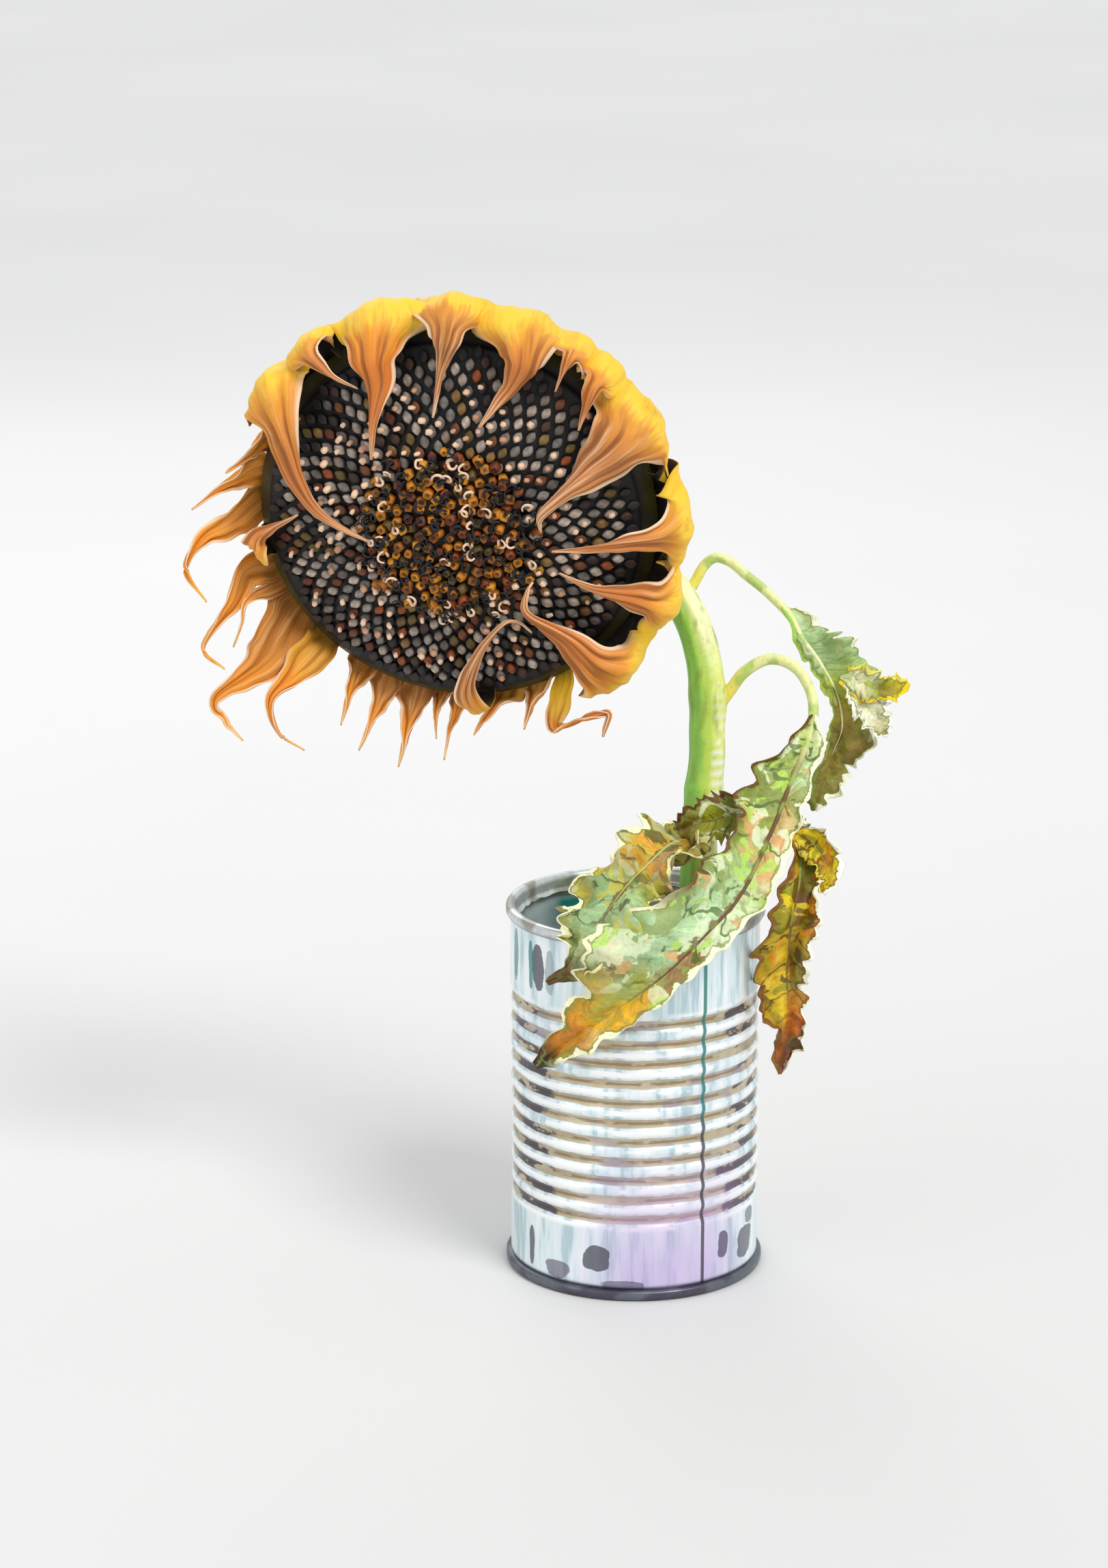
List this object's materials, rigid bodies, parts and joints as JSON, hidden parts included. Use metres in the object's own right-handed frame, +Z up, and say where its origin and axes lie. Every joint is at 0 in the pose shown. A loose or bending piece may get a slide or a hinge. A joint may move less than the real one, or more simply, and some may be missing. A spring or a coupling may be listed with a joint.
{
  "type": "sunflower seed head",
  "caption": "Dried sunflower seed head with curled petals on a hooked cut stem with wilted leaves, standing in an opened ribbed food tin.",
  "frame": {"origin": "centre of the footprint of the whole object's box, on the surface that the tin stands on", "axes": "+Z up, +X to the right seen from in front of the seed face, +Y away from the viewer"},
  "size_m": [0.2044, 0.0952, 0.2946],
  "materials": {
    "steel": "satin",
    "water": "polished",
    "stem": "satin",
    "leaf": "matte",
    "dry_leaf": "matte",
    "seeds": "satin",
    "florets": "matte",
    "receptacle": "matte",
    "petal": "matte",
    "bract": "matte"
  },
  "bodies": {
    "root": {"bract_01": "bract", "bract_02": "bract", "bract_03": "bract", "bract_04": "bract", "bract_05": "bract", "bract_06": "bract", "bract_07": "bract", "bract_08": "bract", "bract_09": "bract", "bract_10": "bract", "bract_11": "bract", "bract_12": "bract", "bract_13": "bract", "bract_14": "bract", "floret_cap": "florets", "leaf_front": "leaf", "leaf_rim": "leaf", "leaf_side": "dry_leaf", "leaf_top": "leaf", "petal_01": "petal", "petal_02": "petal", "petal_03": "petal", "petal_04": "petal", "petal_05": "petal", "petal_06": "petal", "petal_07": "petal", "petal_08": "petal", "petal_09": "petal", "petal_10": "petal", "petal_11": "petal", "petal_12": "petal", "petal_13": "petal", "petal_14": "petal", "petal_15": "petal", "petal_16": "petal", "petal_17": "petal", "petal_18": "petal", "petal_19": "petal", "petal_20": "petal", "petal_21": "petal", "petal_22": "petal", "petal_23": "petal", "petal_24": "petal", "petal_25": "petal", "petal_26": "petal", "petal_27": "petal", "petal_28": "petal", "receptacle": "receptacle", "seed_ring": "seeds", "stem": "stem", "tin_base": "steel", "tin_top_rim": "steel", "tin_wall": "steel", "water": "water"}
  },
  "joints": []
}
